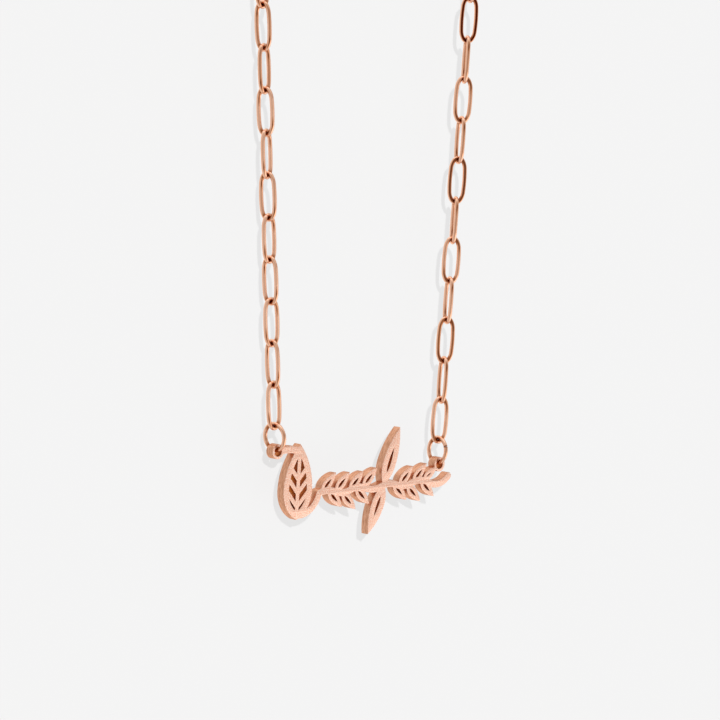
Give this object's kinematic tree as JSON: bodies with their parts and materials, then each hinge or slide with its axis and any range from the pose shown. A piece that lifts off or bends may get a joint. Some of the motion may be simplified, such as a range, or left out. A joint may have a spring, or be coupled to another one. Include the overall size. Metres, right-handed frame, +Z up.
{
  "type": "nameplate necklace",
  "caption": "Nameplate necklace with a flat cut-out plate in the form of a leafy branch, hung by jump rings from a paper-clip chain that a plain clasp closes.",
  "frame": {"origin": "the underside of the chain's arch at its top, where the necklace hangs", "axes": "+X along the plate to the viewer's right, the plate's front faces -Y, +Z up from the plate to the clasp"},
  "size_m": [0.0586, 0.005, 0.2035],
  "materials": {
    "plate_satin": "satin rose gold plating with a fine even grain on the front, cut walls left darker and faintly striped",
    "wire_polished": "polished rose gold plating"
  },
  "bodies": {
    "root": {"nameplate": "plate_satin", "jump_ring_left": "wire_polished", "jump_ring_right": "wire_polished", "chain_left": "wire_polished", "chain_right": "wire_polished", "clasp": "wire_polished", "clasp_ring": "wire_polished", "end_ring": "wire_polished"}
  },
  "joints": []
}
